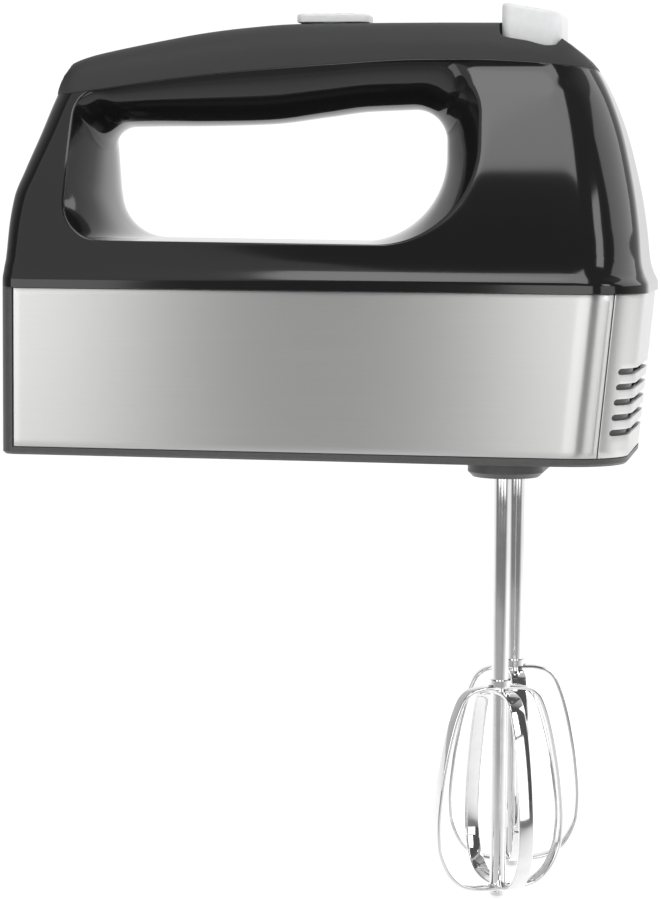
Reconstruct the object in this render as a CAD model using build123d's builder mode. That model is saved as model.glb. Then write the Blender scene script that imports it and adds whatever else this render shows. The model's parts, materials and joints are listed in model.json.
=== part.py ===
"""Hand mixer with two counter-rotating beaters, in build123d (millimetres).

Frame: +X is the front, +Y the user's left, +Z up. The origin is the centre of the handle grip.
Heights along the body are counted from its underside, and at_height() turns them into Z.
"""

import math
import os

from build123d import *

# ---------------------------------------------------------------- driving dimensions
GRIP_HEIGHT = 125.0  # grip centre above the body's underside
BODY_HALF_WIDTH = 43.0
REAR_X = -83.4
FRONT_X_AT_BASE = 118.4
FRONT_X_AT_SEAM = 123.4
REAR_CORNER_R = 5.0
FRONT_CORNER_R = 20.0
SEAM_HEIGHT = 54.0  # lower housing meets upper housing
TRIM_HEIGHT = 2.4  # dark rim below the side panels
FLOOR = 3.0
WALL = 2.4
PANEL_T = 0.6
PANEL_POCKET = 0.7
GRILLE_T = 2.0
LOWER_WALL = 3.5
PANEL_REAR_X = -78.7
PANEL_GAP = 0.3
PANEL_FRONT_X = 109.8  # at the underside; the joint line leans forward with the nose
NOSE_LEAN = (FRONT_X_AT_SEAM - FRONT_X_AT_BASE) / SEAM_HEIGHT

BEATER_X = 78.2
BEATER_HALF_GAP = 21.0
STEM_R = 2.65
STEM_TOP = 34.5
HEAD_TOP = -73.5
HEAD_BOTTOM = -140.8
STEM_TIP = -143.4
STRIP_T = 1.2
STRIP_W = 5.0
RIGHT_PHASE = 31.0  # loop angles; the two beaters mesh when they add up to 45
LEFT_PHASE = 45.0 - RIGHT_PHASE

AXIS_HEIGHT = 30.0  # motor and worm axis
MODULE = 0.9
WORM_STARTS = 3
WHEEL_TEETH = 36
WHEEL_R = MODULE * WHEEL_TEETH / 2
WORM_R = BEATER_HALF_GAP - WHEEL_R
LEAD = WORM_STARTS * math.pi * MODULE
SHAFT_R = 2.5

BUTTON_TRAVEL = 6.0
SLIDER_TRAVEL = 20.0
RUN = 0.05  # running clearance on a radius

SIDES = (("right", -1), ("left", 1))


def at_height(height):
    """Z of a height above the body's underside."""
    return height - GRIP_HEIGHT


def save(part, name):
    """Labels a finished piece and writes it as parts/NAME.step."""
    part.label = name
    export_step(part, f"parts/{name}.step")


def ring(r_in, r_out, low, high, x=0.0, y=0.0):
    """An upright tube between two heights, as a separate solid."""
    with BuildPart() as tube:
        with BuildSketch(Plane.XY.offset(at_height(low))):
            with Locations((x, y)):
                Circle(r_out)
                if r_in > 0:
                    Circle(r_in, mode=Mode.SUBTRACT)
        extrude(amount=high - low)
    return tube.part


def shaft_ring(r_in, r_out, x_low, x_high):
    """A tube about the motor axis between two places along X."""
    with BuildPart() as tube:
        with BuildSketch(Plane.YZ.offset(x_low)):
            with Locations((0, at_height(AXIS_HEIGHT))):
                Circle(r_out)
                if r_in > 0:
                    Circle(r_in, mode=Mode.SUBTRACT)
        extrude(amount=x_high - x_low)
    return tube.part


def block(x_low, x_high, y_low, y_high, low, high):
    """A box between two corners; its heights are above the underside."""
    with BuildPart() as solid:
        with Locations(((x_low + x_high) / 2, (y_low + y_high) / 2, at_height((low + high) / 2))):
            Box(x_high - x_low, y_high - y_low, high - low)
    return solid.part


os.makedirs("parts", exist_ok=True)

# ---------------------------------------------------------------- body surfaces
# One row per level of the upper body: height, rear X, front X, half width, rear and front corner radius.
UPPER_LEVELS = (
    (54.0, -83.4, 124.2, 44.0, 6.0, 20.5),
    (58.5, -83.2, 123.3, 42.9, 6.0, 20.5),
    (64.0, -83.0, 121.7, 41.5, 6.5, 20.0),
    (74.0, -82.8, 120.6, 38.9, 7.0, 20.0),
    (83.0, -82.0, 119.3, 36.3, 7.5, 19.5),
    (92.0, -79.2, 117.5, 33.5, 8.0, 19.0),
    (104.0, -75.1, 114.5, 29.2, 8.5, 18.0),
    (116.0, -71.2, 110.1, 24.3, 9.0, 16.5),
    (126.0, -66.8, 104.8, 19.8, 9.0, 15.0),
    (136.0, -63.5, 95.0, 18.3, 9.0, 13.0),
    (148.0, -60.0, 83.0, 17.6, 9.0, 12.0),
)


def level_outline(height, rear, front, half, rear_r, front_r):
    """Rounded rectangle seen from above, at a height above the underside."""
    with BuildSketch(Plane.XY.offset(at_height(height))) as outline:
        with Locations(((rear + front) / 2, 0)):
            Rectangle(front - rear, 2 * half)
        fillet(outline.vertices().group_by(Axis.X)[0], rear_r)
        fillet(outline.vertices().group_by(Axis.X)[-1], front_r)
    return outline.sketch


def upper_form(inset):
    """Outer form of the upper body, drawn in by inset."""
    with BuildPart() as form:
        for height, rear, front, half, rear_r, front_r in UPPER_LEVELS:
            add(
                level_outline(
                    height, rear + inset, front - inset, half - inset, rear_r - inset, front_r - inset
                )
            )
        loft()
    return form.part


def lower_form(inset, low, high):
    """Slice of the lower body between two heights, drawn in by inset."""
    with BuildPart() as form:
        for height in (low, high):
            add(
                level_outline(
                    height,
                    REAR_X + inset,
                    FRONT_X_AT_BASE + NOSE_LEAN * height - inset,
                    BODY_HALF_WIDTH - inset,
                    max(REAR_CORNER_R - inset, 1.0),
                    FRONT_CORNER_R - inset,
                )
            )
        loft(ruled=True)
    return form.part


def side_profile(points_below, reach=60.0):
    """Prism across the whole width whose side view is bounded by the curve that points_below draws."""
    with BuildPart() as prism:
        with BuildSketch(Plane.XZ):
            with BuildLine():
                points_below()
            make_face()
        extrude(amount=reach, both=True)
    return prism.part


def under_cover_seam(drop=0.0):
    """Side view region under the joint between upper housing and handle cover."""
    seam = Spline(
        (-130, at_height(110.5) - drop),
        (-69.6, at_height(116.3) - drop),
        (-32, at_height(121.4) - drop),
        (20, at_height(126.2) - drop),
        (64, at_height(127.8) - drop),
        (97, at_height(125.2) - drop),
        (140, at_height(116.0) - drop),
    )
    Polyline(seam @ 1, (140, at_height(0)), (-130, at_height(0)), seam @ 0)


def under_crown(drop=0.0):
    """Side view region under the handle's top line, which rises from the rear and falls at the nose."""
    rise = Spline(
        (-110, at_height(115.0) - drop),
        (-66.5, at_height(127.4) - drop),
        (-24, at_height(137.6) - drop),
        (18, at_height(140.5) - drop),
        tangents=((43, 13.5), (1, 0)),
    )
    flat = Line(rise @ 1, (68, at_height(140.5) - drop))
    nose = TangentArc(flat @ 1, (100, at_height(133.0) - drop), tangent=flat % 1)
    Polyline(nose @ 1, (140, at_height(120.0)), (140, at_height(0)), (-110, at_height(0)), rise @ 0)


# Finger opening: its outline in side view grows from the mid-plane out to each side.
OPENING_REACH = (0.0, 6.0, 11.0, 15.0, 18.0, 20.0, 24.0, 28.0, 32.0, 46.0)
GRIP_HALF_WIDTH = 20.0
FLARE_REACH = 32.0


def opening_outline(y, grow):
    """Rounded four-sided hole at distance y from the mid-plane, larger by grow all round."""
    flare = min((y / FLARE_REACH) ** 2, 1.4)
    share = min(y / GRIP_HALF_WIDTH, 1.0)
    lift = 17.5 * (1 - math.sqrt(1 - 0.96 * share**2)) / 0.8
    bottom = at_height(69.8 - 0.6 * flare - grow)
    low_rear = (-58.0 - 6.4 * flare - grow, bottom)
    low_front = (56.6 + 14.6 * flare + grow, bottom)
    high_front = (low_front[0] - 1.5 * flare, at_height(112.3 + lift + grow))
    high_rear = (low_rear[0] + 5.0 * flare, at_height(107.0 + lift + grow))
    with BuildSketch(Plane.XZ.offset(-y)) as outline:
        Polygon(low_rear, low_front, high_front, high_rear, align=None)
        for corner, radius in (
            (low_rear, 18.0 - 3.0 * flare),
            (low_front, 27.0 - 5.0 * flare),
            (high_front, 11.0 - 3.0 * flare),
            (high_rear, 11.0),
        ):
            fillet(outline.vertices().sort_by_distance(corner)[0], radius)
    return outline.sketch


def opening_form(grow):
    """The finger opening as a solid, larger by grow all round."""
    with BuildPart() as form:
        for y in OPENING_REACH:
            add(opening_outline(y, grow))
        loft(ruled=True)
        mirror(about=Plane.XZ)
    return form.part


# ---------------------------------------------------------------- handle saddle, button and slider dimensions
BUTTON_X = 84.6
BUTTON_LENGTH = 20.0
BUTTON_HALF_WIDTH = 13.5
BUTTON_GAP = 0.4
BUTTON_BASE = 126.0
ROD_R = 3.0
GUIDE_TOP = 103.0
SLIDER_X = 18.6
SLIDER_LENGTH = 23.8
SLIDER_HALF_WIDTH = 7.0
SLIDER_STEM = 8.0
SLOT_MARGIN = 0.5
SCREW_SPOTS = ((-72, -31), (-72, 31), (107, -20), (107, 20))


def over_saddle(drop=0.0):
    """Side view region above the dip that the eject button sits in."""
    dip = Spline(
        (72.6, at_height(141.0) - drop),
        (77.9, at_height(135.8) - drop),
        (89.0, at_height(132.6) - drop),
        (97.0, at_height(135.6) - drop),
        tangents=((0.3, -1.0), (1.0, 0.9)),
    )
    Polyline(dip @ 1, (97.0, at_height(150)), (72.6, at_height(150)), dip @ 0)


# ---------------------------------------------------------------- upper housing and handle cover
with BuildPart() as outer:
    add(upper_form(0.0))
    add(side_profile(under_crown), mode=Mode.INTERSECT)
    crown_edges = [e for e in outer.edges() if e.center().Z > at_height(127) and abs(e.center().Y) > 17]
    fillet(crown_edges, 6.0)
    add(side_profile(over_saddle), mode=Mode.SUBTRACT)
    add(opening_form(0.0), mode=Mode.SUBTRACT)

with BuildPart() as inner:
    add(upper_form(WALL))
    add(side_profile(lambda: under_crown(WALL)), mode=Mode.INTERSECT)
    inner_edges = [e for e in inner.edges() if e.center().Z > at_height(124) and abs(e.center().Y) > 15]
    fillet(inner_edges, 4.0)
    add(side_profile(lambda: over_saddle(WALL)), mode=Mode.SUBTRACT)
    add(opening_form(WALL), mode=Mode.SUBTRACT)

with BuildPart() as upper_housing:
    add(outer.part)
    add(inner.part, mode=Mode.SUBTRACT)
    add(side_profile(under_cover_seam), mode=Mode.INTERSECT)
    # posts for the speed board
    add(ring(0, 2.5, 109.5, 121.0, x=0.0))
    add(ring(0, 2.5, 112.0, 121.0, x=50.0))
    # screw posts that take the screws from below
    for x, y in SCREW_SPOTS:
        wall_x = -82.0 if x < 0 else 120.5
        add(block(min(x, wall_x), max(x, wall_x), y - 1, y + 1, 54.0, 64.0))
        add(ring(0, 4.0, 54.0, 66.0, x, y))
        add(ring(0, 1.6, 54.0, 64.0, x, y), mode=Mode.SUBTRACT)
    # cord inlet through the rear wall
    with BuildSketch(Plane.YZ.offset(-90)):
        with Locations((0, at_height(68))):
            Circle(6.5)
    extrude(amount=20, mode=Mode.SUBTRACT)
save(upper_housing.part, "upper_housing")

with BuildPart() as handle_cover:
    add(outer.part)
    add(inner.part, mode=Mode.SUBTRACT)
    add(side_profile(under_cover_seam), mode=Mode.SUBTRACT)
    # button opening
    with BuildSketch(Plane.XY.offset(at_height(110))):
        with Locations((BUTTON_X, 0)):
            RectangleRounded(
                BUTTON_LENGTH + 2 * BUTTON_GAP, 2 * (BUTTON_HALF_WIDTH + BUTTON_GAP), 4.0 + BUTTON_GAP
            )
    extrude(amount=50, mode=Mode.SUBTRACT)
    # slider slot
    slot_rear = SLIDER_X - SLIDER_STEM / 2 - SLOT_MARGIN
    slot_front = SLIDER_X + SLIDER_STEM / 2 + SLIDER_TRAVEL + SLOT_MARGIN
    add(block(slot_rear, slot_front, -3.0, 3.0, 130, 150), mode=Mode.SUBTRACT)
save(handle_cover.part, "handle_cover")

with BuildPart() as cord_gland:
    with BuildSketch(Plane.YZ.offset(-82.9)):
        with Locations((0, at_height(68))):
            Circle(6.4)
            Circle(4.0, mode=Mode.SUBTRACT)
    extrude(amount=11)
    with BuildSketch(Plane.YZ.offset(-80.2)):
        with Locations((0, at_height(68))):
            Circle(8.5)
            Circle(4.0, mode=Mode.SUBTRACT)
    extrude(amount=2.5)
save(cord_gland.part, "cord_gland")

# ---------------------------------------------------------------- lower housing, panels and grille
NOSE_CUT = (PANEL_FRONT_X, PANEL_FRONT_X + NOSE_LEAN * SEAM_HEIGHT)
SLOT_HEIGHTS = (10.5, 15.3, 20.1, 24.9, 29.7)


def nose_side(x_shift, low, high):
    """Region in front of the leaning joint between side panels and grille."""
    with BuildPart() as region:
        with BuildSketch(Plane.XZ):
            Polygon(
                (PANEL_FRONT_X + x_shift + NOSE_LEAN * low, at_height(low)),
                (150, at_height(low)),
                (150, at_height(high)),
                (PANEL_FRONT_X + x_shift + NOSE_LEAN * high, at_height(high)),
                align=None,
            )
        extrude(amount=60, both=True)
    return region.part


with BuildPart() as lower_housing:
    add(lower_form(0.0, 0.0, SEAM_HEIGHT))
    with BuildPart(mode=Mode.PRIVATE) as side_pocket:
        add(lower_form(-1.0, TRIM_HEIGHT, SEAM_HEIGHT))
        add(lower_form(PANEL_POCKET, TRIM_HEIGHT, SEAM_HEIGHT), mode=Mode.SUBTRACT)
        add(block(PANEL_REAR_X - PANEL_GAP, 150, -60, 60, 0, 60), mode=Mode.INTERSECT)
    add(side_pocket.part, mode=Mode.SUBTRACT)
    with BuildPart(mode=Mode.PRIVATE) as nose_pocket:
        add(lower_form(-1.0, TRIM_HEIGHT, SEAM_HEIGHT))
        add(lower_form(GRILLE_T, TRIM_HEIGHT, SEAM_HEIGHT), mode=Mode.SUBTRACT)
        add(nose_side(0.0, 0, 60), mode=Mode.INTERSECT)
    add(nose_pocket.part, mode=Mode.SUBTRACT)
    add(lower_form(LOWER_WALL, FLOOR, SEAM_HEIGHT), mode=Mode.SUBTRACT)
    # air window behind the grille slots
    add(block(105, 140, -15, 15, 8, 32), mode=Mode.SUBTRACT)
    for x, y in SCREW_SPOTS:
        add(ring(0, 4.0, 0.5, SEAM_HEIGHT, x, y))
        add(ring(0, 1.6, 0, SEAM_HEIGHT, x, y), mode=Mode.SUBTRACT)
        add(ring(0, 3.2, 0, 2.8, x, y), mode=Mode.SUBTRACT)
    # motor cradle
    add(block(-20, 12, -18, 18, 2.5, 4.0))
    for _, side in SIDES:
        add(ring(0, 6.0, -1, 4, BEATER_X, side * BEATER_HALF_GAP), mode=Mode.SUBTRACT)
    bottom_edges = [e for e in lower_housing.edges() if abs(e.center().Z - at_height(0)) < 0.01]
    rim = [e for e in bottom_edges if e.length > 15 and (abs(e.center().Y) > 30 or e.center().X > 90)]
    chamfer([e for e in rim if e.geom_type != GeomType.CIRCLE or e.center().X > 95], 0.8)
save(lower_housing.part, "lower_housing")

for name, side in SIDES:
    with BuildPart() as side_panel:
        add(lower_form(0.1, TRIM_HEIGHT + 0.2, SEAM_HEIGHT - 0.1))
        add(lower_form(PANEL_POCKET, TRIM_HEIGHT + 0.2, SEAM_HEIGHT - 0.1), mode=Mode.SUBTRACT)
        add(block(PANEL_REAR_X, 150, min(0, side * 60), max(0, side * 60), 0, 60), mode=Mode.INTERSECT)
        add(nose_side(-0.2, 0, 60), mode=Mode.SUBTRACT)
    save(side_panel.part, f"side_panel_{name}")

with BuildPart() as front_grille:
    add(lower_form(0.0, TRIM_HEIGHT + 0.2, SEAM_HEIGHT - 0.1))
    add(lower_form(GRILLE_T, TRIM_HEIGHT + 0.2, SEAM_HEIGHT - 0.1), mode=Mode.SUBTRACT)
    add(nose_side(0.2, 0, 60), mode=Mode.INTERSECT)
    for height in SLOT_HEIGHTS:
        add(nose_side(3.2, height - 1.0, height + 1.0), mode=Mode.SUBTRACT)
save(front_grille.part, "front_grille")

with BuildPart() as beater_collar:
    with BuildSketch(Plane.XY.offset(at_height(-5.3))):
        with Locations((BEATER_X + 1.0, 0)):
            SlotCenterToCenter(2 * BEATER_HALF_GAP, 24.4, rotation=90)
        with Locations((BEATER_X, -BEATER_HALF_GAP), (BEATER_X, BEATER_HALF_GAP)):
            Circle(5.0, mode=Mode.SUBTRACT)
    extrude(amount=5.3)
    low_edges = beater_collar.edges().group_by(Axis.Z)[0]
    chamfer([e for e in low_edges if e.length > 33], 1.6)
save(beater_collar.part, "beater_collar")

# ---------------------------------------------------------------- gear frame and gear cover
FRAME_REAR = 48.0
FRAME_FRONT = 102.0
FRAME_MID = (FRAME_REAR + FRAME_FRONT) / 2
POSTS = ((55, -31), (55, 31), (97.5, -30), (97.5, 30))


def frame_plate(low, high):
    """Rounded plate of the gear frame between two heights."""
    with BuildPart() as plate:
        with BuildSketch(Plane.XY.offset(at_height(low))):
            with Locations((FRAME_MID, 0)):
                RectangleRounded(FRAME_FRONT - FRAME_REAR, 72.0, 8.0)
        extrude(amount=high - low)
    return plate.part


with BuildPart() as gear_frame:
    add(frame_plate(14, 18))
    for x, y in POSTS:
        add(ring(0, 3.5, FLOOR, 42, x, y))
    add(block(FRAME_REAR, FRAME_REAR + 5, -14, 14, 16, 42))
    add(block(FRAME_FRONT - 5, FRAME_FRONT, -11, 11, 16, 42))
    for _, side in SIDES:
        add(ring(0, 7.0, 10, 20, BEATER_X, side * BEATER_HALF_GAP), mode=Mode.SUBTRACT)
    add(shaft_ring(0, 5.0, FRAME_REAR - 1, FRAME_FRONT + 1), mode=Mode.SUBTRACT)
    for x, y in POSTS[:2]:
        add(ring(0, 1.5, 30, 43, x, y), mode=Mode.SUBTRACT)
save(gear_frame.part, "gear_frame")

with BuildPart() as gear_cover:
    add(frame_plate(42, 45))
    for _, side in SIDES:
        add(ring(0, 4.5 + RUN, 41, 46, BEATER_X, side * BEATER_HALF_GAP), mode=Mode.SUBTRACT)
    for x, y in POSTS[:2]:
        add(ring(0, 1.6, 41, 46, x, y), mode=Mode.SUBTRACT)
save(gear_cover.part, "gear_cover")

for name, side in SIDES:
    with BuildPart() as gear_screw:
        add(ring(0, 1.45, 31, 45, *POSTS[0 if side < 0 else 1]))
        add(ring(0, 2.8, 45, 46.8, *POSTS[0 if side < 0 else 1]))
    save(gear_screw.part, f"gear_screw_{name}")

for index, (x, y) in enumerate(SCREW_SPOTS):
    with BuildPart() as housing_screw:
        add(ring(0, 1.5, 2.0, 60.0, x, y))
        add(ring(0, 3.0, 0.9, 2.8, x, y))
    save(housing_screw.part, f"housing_screw_{index + 1}")

# ---------------------------------------------------------------- motor
with BuildPart() as rear_bracket:
    add(block(-62, -57, -30, 30, FLOOR, 52))
    for _, side in SIDES:
        add(block(-62, -22, min(side * 26, side * 30), max(side * 26, side * 30), 24, 36))
    add(shaft_ring(0, 5.0, -64, -56), mode=Mode.SUBTRACT)
save(rear_bracket.part, "rear_bracket")

for name, x in (("rear_bearing", -62), ("front_bearing", FRAME_REAR), ("nose_bearing", FRAME_FRONT - 5)):
    save(shaft_ring(SHAFT_R + RUN, 5.0, x, x + 5), name)

WINDOW_ANGLE = 58.0


def sector_points(r_in, r_out, middle, spread):
    """Closed outline of a ring sector about the motor axis."""
    points = []
    for step in range(13):
        angle = math.radians(middle - spread + 2 * spread * step / 12)
        points.append((r_out * math.cos(angle), at_height(AXIS_HEIGHT) + r_out * math.sin(angle)))
    for step in range(13):
        angle = math.radians(middle + spread - 2 * spread * step / 12)
        points.append((r_in * math.cos(angle), at_height(AXIS_HEIGHT) + r_in * math.sin(angle)))
    return points


with BuildPart() as stator_core:
    with BuildSketch(Plane.YZ.offset(-22)):
        with Locations((0, at_height(AXIS_HEIGHT))):
            RectangleRounded(52, 52, 9)
            Circle(14.6, mode=Mode.SUBTRACT)
        for middle in (90, 270):
            Polygon(*sector_points(14.0, 20.0, middle, 60), align=None, mode=Mode.SUBTRACT)
    extrude(amount=38)
save(stator_core.part, "stator_core")

for name, middle in (("upper", 90), ("lower", 270)):
    with BuildPart() as field_coil:
        with BuildSketch(Plane.YZ.offset(-29)):
            Polygon(*sector_points(15.4, 19.6, middle, 57), align=None)
        extrude(amount=52)
    save(field_coil.part, f"field_coil_{name}")

for name, side in SIDES:
    with BuildPart() as brush_holder:
        add(block(-43, -33, min(side * 10.5, side * 26), max(side * 10.5, side * 26), 26, 34))
        add(block(-41, -35, min(side * 9, side * 24), max(side * 9, side * 24), 28, 32), mode=Mode.SUBTRACT)
    save(brush_holder.part, f"brush_holder_{name}")
    save(block(-41, -35, min(side * 9.4, side * 20), max(side * 9.4, side * 20), 28, 32), f"carbon_brush_{name}")

save(shaft_ring(0, SHAFT_R, -64, FRAME_FRONT + 1), "motor_shaft")

BAR_R = 1.1
with BuildPart() as armature_winding:
    add(shaft_ring(SHAFT_R, 12.4, -28, -20))
    add(shaft_ring(SHAFT_R, 12.4, 14, 22))
    with BuildSketch(Plane.YZ.offset(-21)):
        with Locations((0, at_height(AXIS_HEIGHT))):
            with PolarLocations(11.0, 12):
                Circle(BAR_R)
    extrude(amount=36)
save(armature_winding.part, "armature_winding")

with BuildPart() as armature_core:
    add(shaft_ring(SHAFT_R, 14.0, -20, 14))
    with BuildSketch(Plane.YZ.offset(-21)):
        with Locations((0, at_height(AXIS_HEIGHT))):
            with PolarLocations(11.0, 12):
                Circle(BAR_R)
            with PolarLocations(12.8, 12):
                Rectangle(3.6, 0.8)
    extrude(amount=36, mode=Mode.SUBTRACT)
save(armature_core.part, "armature_core")

with BuildPart() as commutator:
    add(shaft_ring(SHAFT_R, 9.0, -45, -31))
    with BuildSketch(Plane.YZ.offset(-43)):
        with Locations((0, at_height(AXIS_HEIGHT))):
            with PolarLocations(9.0, 12):
                Rectangle(1.6, 0.6)
    extrude(amount=13, mode=Mode.SUBTRACT)
save(commutator.part, "commutator")

with BuildPart() as cooling_fan:
    add(shaft_ring(SHAFT_R, 7.0, 27, 38))
    add(shaft_ring(6.0, 21.0, 27, 28.5))
    with BuildSketch(Plane.YZ.offset(28)):
        with Locations((0, at_height(AXIS_HEIGHT))):
            with PolarLocations(13.5, 12):
                Rectangle(14.0, 1.2, rotation=18)
    extrude(amount=9)
    add(shaft_ring(0, 21.0, 26, 40), mode=Mode.INTERSECT)
    add(shaft_ring(0, SHAFT_R, 26, 40), mode=Mode.SUBTRACT)
save(cooling_fan.part, "cooling_fan")

# ---------------------------------------------------------------- worm and wheels
ADDENDUM = 0.7
DEDENDUM = 1.0
FLANK = math.tan(math.radians(20))
WORM_TOOTH = 1.15  # thickness at the pitch line, leaving running backlash
WHEEL_TOOTH = 1.15
WHEEL_FACE = 8.0
WORM_LENGTH = 28.0
WORM_CORE = WORM_R - DEDENDUM

THREAD_START = BEATER_X + LEAD / 4 - 5 * math.pi * MODULE  # sets a thread abreast of the left wheel


def worm_thread(turned):
    """One right-hand thread of the worm, turned about the motor axis."""
    with BuildPart() as thread:
        with BuildLine() as path:
            Helix(LEAD, 25.0, WORM_R, center=(THREAD_START, 0, at_height(AXIS_HEIGHT)), direction=(1, 0, 0))
        start = path.line @ 0
        with BuildSketch(Plane(start, x_dir=(1, 0, 0), z_dir=(0, -1, 0))):
            Polygon(
                (-WORM_TOOTH / 2 - FLANK * 1.1, -1.1),
                (WORM_TOOTH / 2 + FLANK * 1.1, -1.1),
                (WORM_TOOTH / 2 - FLANK * ADDENDUM, ADDENDUM),
                (-WORM_TOOTH / 2 + FLANK * ADDENDUM, ADDENDUM),
                align=None,
            )
        sweep(path=path.line, is_frenet=True)
    return thread.part.rotate(Axis((0, 0, at_height(AXIS_HEIGHT)), (1, 0, 0)), turned)


with BuildPart() as motor_worm:
    add(shaft_ring(0, WORM_CORE, BEATER_X - WORM_LENGTH / 2, BEATER_X + WORM_LENGTH / 2))
    add([worm_thread(360 * start / WORM_STARTS) for start in range(WORM_STARTS)])
    add(shaft_ring(0, SHAFT_R, 50, 100), mode=Mode.SUBTRACT)
save(motor_worm.part, "motor_worm")

HELIX_TURN = math.degrees(LEAD / (2 * math.pi * WORM_R * WHEEL_R))  # wheel twist per millimetre of face


def wheel_points(phase):
    """Corners of the toothed outline, with a tooth centred at angle phase."""
    points = []
    for tooth in range(WHEEL_TEETH):
        middle = math.radians(phase) + 2 * math.pi * tooth / WHEEL_TEETH
        root_half = (WHEEL_TOOTH / 2 + FLANK * DEDENDUM) / (WHEEL_R - DEDENDUM)
        tip_half = (WHEEL_TOOTH / 2 - FLANK * ADDENDUM) / (WHEEL_R + ADDENDUM)
        for half, radius in (
            (-root_half, WHEEL_R - DEDENDUM),
            (-tip_half, WHEEL_R + ADDENDUM),
            (tip_half, WHEEL_R + ADDENDUM),
            (root_half, WHEEL_R - DEDENDUM),
        ):
            points.append((radius * math.cos(middle + half), radius * math.sin(middle + half)))
    return points


SPINDLE_R = 4.5
SPINDLE_LOW = -4.6
SPINDLE_HIGH = 46.0

for name, side in SIDES:
    place = (BEATER_X, side * BEATER_HALF_GAP)
    half_tooth = 0 if side < 0 else 180 / WHEEL_TEETH
    with BuildPart() as worm_wheel:
        for level in (-WHEEL_FACE / 2, 0.0, WHEEL_FACE / 2):
            with BuildSketch(Plane.XY.offset(at_height(AXIS_HEIGHT + level))):
                with Locations(place):
                    Polygon(*wheel_points(half_tooth + HELIX_TURN * level), align=None)
        loft(ruled=True)
        add(ring(0, SPINDLE_R, 20, 40, *place), mode=Mode.SUBTRACT)
        add(ring(8.5, 13.0, 31.5, 36, *place), mode=Mode.SUBTRACT)
    save(worm_wheel.part, f"worm_wheel_{name}")

    with BuildPart() as drive_spindle:
        add(ring(STEM_R + RUN, SPINDLE_R, SPINDLE_LOW, SPINDLE_HIGH, *place))
        add(ring(STEM_R + RUN, 6.5, 20.4, 26, *place))
        # slots that take the drive lugs of the stem
        with Locations((*place, at_height(SPINDLE_LOW + 2.4))):
            Box(2.4, 12, 5.2, mode=Mode.SUBTRACT)
    save(drive_spindle.part, f"drive_spindle_{name}")

    save(ring(SPINDLE_R, 6.8, 34, 35.2, *place), f"spindle_clip_{name}")
    save(ring(SPINDLE_R + RUN, 7.0, 12, 19, *place), f"spindle_bush_{name}")

# ---------------------------------------------------------------- beaters
FERRULE_TOP = -71.6


# corners of the egg-shaped loop before rounding: radius, height, rounding radius
LOOP_CORNERS = (
    (12.6, HEAD_TOP, 5.5),
    (22.9, -117.0, 40.0),
    (20.6, -132.0, 16.0),
    (12.0, HEAD_BOTTOM, 14.0),
)


def loop_face(drawn_in, nest):
    """Outline of one egg-shaped loop, widest low down; nest squeezes it inside the other loop."""
    middle = (HEAD_TOP + HEAD_BOTTOM) / 2
    squeeze = 1 - 2 * nest / (HEAD_TOP - HEAD_BOTTOM)
    right = [(radius, at_height(middle + (height - middle) * squeeze)) for radius, height, _ in LOOP_CORNERS]
    left = [(-x, z) for x, z in reversed(right)]
    with BuildSketch() as outline:
        Polygon(*right, *left, align=None)
        if drawn_in > 0:
            offset(amount=-drawn_in, kind=Kind.INTERSECTION)
        levels = outline.vertices().group_by(Axis.Y)
        for pair, corner in zip(reversed(levels), LOOP_CORNERS):
            here = pair[0].Y
            found = [v for v in outline.vertices() if abs(v.Y - here) < 0.05]
            fillet(found, corner[2] - drawn_in)
    return outline.sketch


def beater_loop(turned, nest, place):
    """Closed strip loop in a plane through the stem; nest drops it inside the other loop."""
    with BuildPart() as loop:
        with BuildSketch(Plane.XZ):
            add(loop_face(0.0, nest))
            add(loop_face(STRIP_T, nest), mode=Mode.SUBTRACT)
        extrude(amount=STRIP_W / 2, both=True)
        # round eyes where the strip passes the stem
        for level in (HEAD_TOP - nest - STRIP_T / 2, HEAD_BOTTOM + nest + STRIP_T / 2):
            with Locations((0, 0, at_height(level))):
                Cylinder(4.2, STRIP_T)
        with Locations((0, 0, at_height(-110))):
            Cylinder(STEM_R, 80, mode=Mode.SUBTRACT)
    return loop.part.rotate(Axis.Z, turned).moved(Location((*place, 0)))


for name, side in SIDES:
    place = (BEATER_X, side * BEATER_HALF_GAP)
    phase = RIGHT_PHASE if side < 0 else LEFT_PHASE
    with BuildPart() as beater_stem:
        add(ring(0, STEM_R, HEAD_BOTTOM, STEM_TOP - 1.0, *place))
        with BuildSketch(Plane.XY.offset(at_height(STEM_TOP - 1.0))):
            with Locations(place):
                Circle(STEM_R)
        extrude(amount=1.0, taper=45)
        # drive lugs below the spindle slots
        with Locations((*place, at_height(-2.4))):
            Box(1.8, 7.8, 3.6)
    save(beater_stem.part, f"beater_stem_{name}")
    save(beater_loop(phase, 0.0, place), f"outer_loop_{name}")
    save(beater_loop(phase + 90, STRIP_T, place), f"inner_loop_{name}")
    save(ring(STEM_R, 3.7, HEAD_TOP, FERRULE_TOP, *place), f"beater_ferrule_{name}")
    with BuildPart() as tip_rivet:
        add(ring(0, 3.0, STEM_TIP + 1.2, HEAD_BOTTOM, *place))
        with BuildSketch(Plane.XY.offset(at_height(STEM_TIP + 1.2))):
            with Locations(place):
                Circle(3.0)
        extrude(amount=-1.2, taper=40)
    save(tip_rivet.part, f"tip_rivet_{name}")

# ---------------------------------------------------------------- eject button
BUTTON_TOP_REAR = 146.5
BUTTON_TOP_FRONT = 143.0
YOKE_LOW = 58.0
PIN_BOTTOM = STEM_TOP + BUTTON_TRAVEL + 0.5
PIN_R = 2.2

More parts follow.
